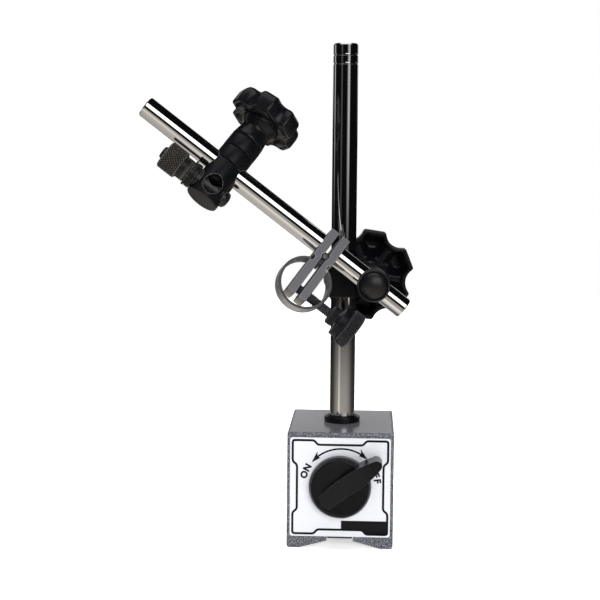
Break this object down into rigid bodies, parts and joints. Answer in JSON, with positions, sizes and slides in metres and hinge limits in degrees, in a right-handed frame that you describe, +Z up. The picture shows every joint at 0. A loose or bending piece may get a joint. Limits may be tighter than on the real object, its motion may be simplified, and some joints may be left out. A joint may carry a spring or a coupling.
{
  "type": "magnetic base indicator stand",
  "caption": "Switchable magnetic base with an upright post, a swivelling rod arm with fine adjustment and a clamp for a gauge stem.",
  "frame": {"origin": "middle of the whole stand's box, at the surface it stands on", "axes": "+X to the right of the labelled front, +Y to the back, +Z up along the post"},
  "size_m": [0.1285, 0.084, 0.2365],
  "materials": {
    "grey_paint": "fine hammered grey paint on the sides, satin on the top",
    "plate_steel": "brushed silver with printed black lines",
    "chrome": "polished",
    "bright_steel": "satin",
    "black_plastic": "satin moulded",
    "black_steel": "satin black oxide",
    "brass": "turned"
  },
  "bodies": {
    "base": {"pole_left": "grey_paint", "pole_right": "grey_paint", "strip_upper": "grey_paint", "strip_lower": "grey_paint", "label_plate": "plate_steel", "rear_cover": "plate_steel", "cover_screw_1": "black_steel", "cover_screw_2": "black_steel", "cover_screw_3": "black_steel", "cover_screw_4": "black_steel", "post": "chrome", "post_collar": "black_plastic"},
    "switch": {"switch_knob": "black_plastic", "rotor_spindle": "bright_steel", "rotor_magnet": "bright_steel"},
    "liner": {"post_liner": "black_plastic"},
    "clamp": {"clamp_block": "black_steel", "front_spacer": "black_steel", "rear_washer": "bright_steel"},
    "head": {"pivot_bolt": "black_steel", "head_sleeve": "black_steel"},
    "main_knob_body": {"main_knob": "black_plastic", "main_knob_insert": "brass"},
    "right_rod": {"rod_right": "chrome"},
    "adjuster": {"plate_right": "bright_steel", "pivot_pin": "bright_steel", "c_spring": "bright_steel", "hinge_key": "black_steel"},
    "fine_screw_body": {"fine_screw": "black_steel", "lock_nut": "black_steel", "thumb_wheel": "black_steel"},
    "left_plate": {"plate_left": "bright_steel"},
    "left_rod": {"rod_left": "chrome"},
    "holder": {"holder_head": "black_steel", "sleeve_lower": "black_steel", "sleeve_upper": "black_steel", "draw_bolt": "black_steel", "gauge_bolt": "black_steel", "jaw_washer": "black_steel", "thin_washer": "black_steel"},
    "gauge_nut": {"knurled_nut": "black_steel"},
    "upper_knob_body": {"upper_knob": "black_plastic", "upper_knob_insert": "brass"}
  },
  "joints": [
    {"name": "switch_turn", "type": "hinge", "parent": "base", "child": "switch", "pos_m": [0.03002, -0.02958, 0.0299], "axis": [0, -1, 0], "range_deg": [0, 108]},
    {"name": "height_slide", "type": "slide", "parent": "base", "child": "liner", "axis": [0, 0, 1], "range_m": [-0.03, 0.09]},
    {"name": "swivel", "type": "hinge", "parent": "liner", "child": "clamp", "pos_m": [0.03002, 0.00042, 0.12415], "axis": [0, 0, 1], "continuous": true},
    {"name": "arm_pitch", "type": "hinge", "parent": "clamp", "child": "head", "pos_m": [0.04321, 0.001, 0.12415], "axis": [-0.0436, 0.999, 0], "range_deg": [-37, 14]},
    {"name": "main_knob_turn", "type": "hinge", "parent": "head", "child": "main_knob_body", "pos_m": [0.0419, 0.03097, 0.12415], "axis": [-0.0436, 0.999, 0], "continuous": true},
    {"name": "arm_slide", "type": "slide", "parent": "head", "child": "right_rod", "axis": [0.791, 0.0345, -0.6108], "range_m": [-0.01, 0.011]},
    {"name": "arm_roll", "type": "hinge", "parent": "right_rod", "child": "adjuster", "pos_m": [0.04425, -0.02298, 0.12415], "axis": [0.791, 0.0345, -0.6108], "range_deg": [-60, 18]},
    {"name": "fine_rock", "type": "hinge", "parent": "adjuster", "child": "left_plate", "pos_m": [0.02056, -0.02627, 0.13584], "axis": [-0.2786, 0.9092, -0.3094], "range_deg": [-1.4, 1.4]},
    {"name": "fine_screw_turn", "type": "hinge", "parent": "adjuster", "child": "fine_screw_body", "pos_m": [0.03107, -0.03302, 0.10651], "axis": [0.791, 0.0345, -0.6108], "range_deg": [-210, 210]},
    {"name": "holder_roll", "type": "hinge", "parent": "left_plate", "child": "left_rod", "pos_m": [-0.0244, -0.02598, 0.17717], "axis": [0.791, 0.0345, -0.6108], "range_deg": [-60, 60]},
    {"name": "holder_slide", "type": "slide", "parent": "left_rod", "child": "holder", "axis": [0.791, 0.0345, -0.6108], "range_m": [-0.03, 0.012]},
    {"name": "upper_knob_turn", "type": "hinge", "parent": "holder", "child": "upper_knob_body", "pos_m": [-0.00821, -0.01306, 0.19887], "axis": [0.5398, 0.4307, 0.7233], "continuous": true},
    {"name": "gauge_nut_turn", "type": "hinge", "parent": "holder", "child": "gauge_nut", "pos_m": [-0.04686, -0.03197, 0.18049], "axis": [0.791, 0.0345, -0.6108], "continuous": true}
  ],
  "couplings": [
    {"joint": "fine_screw_turn", "follows": "fine_rock", "ratio": -144.91}
  ]
}
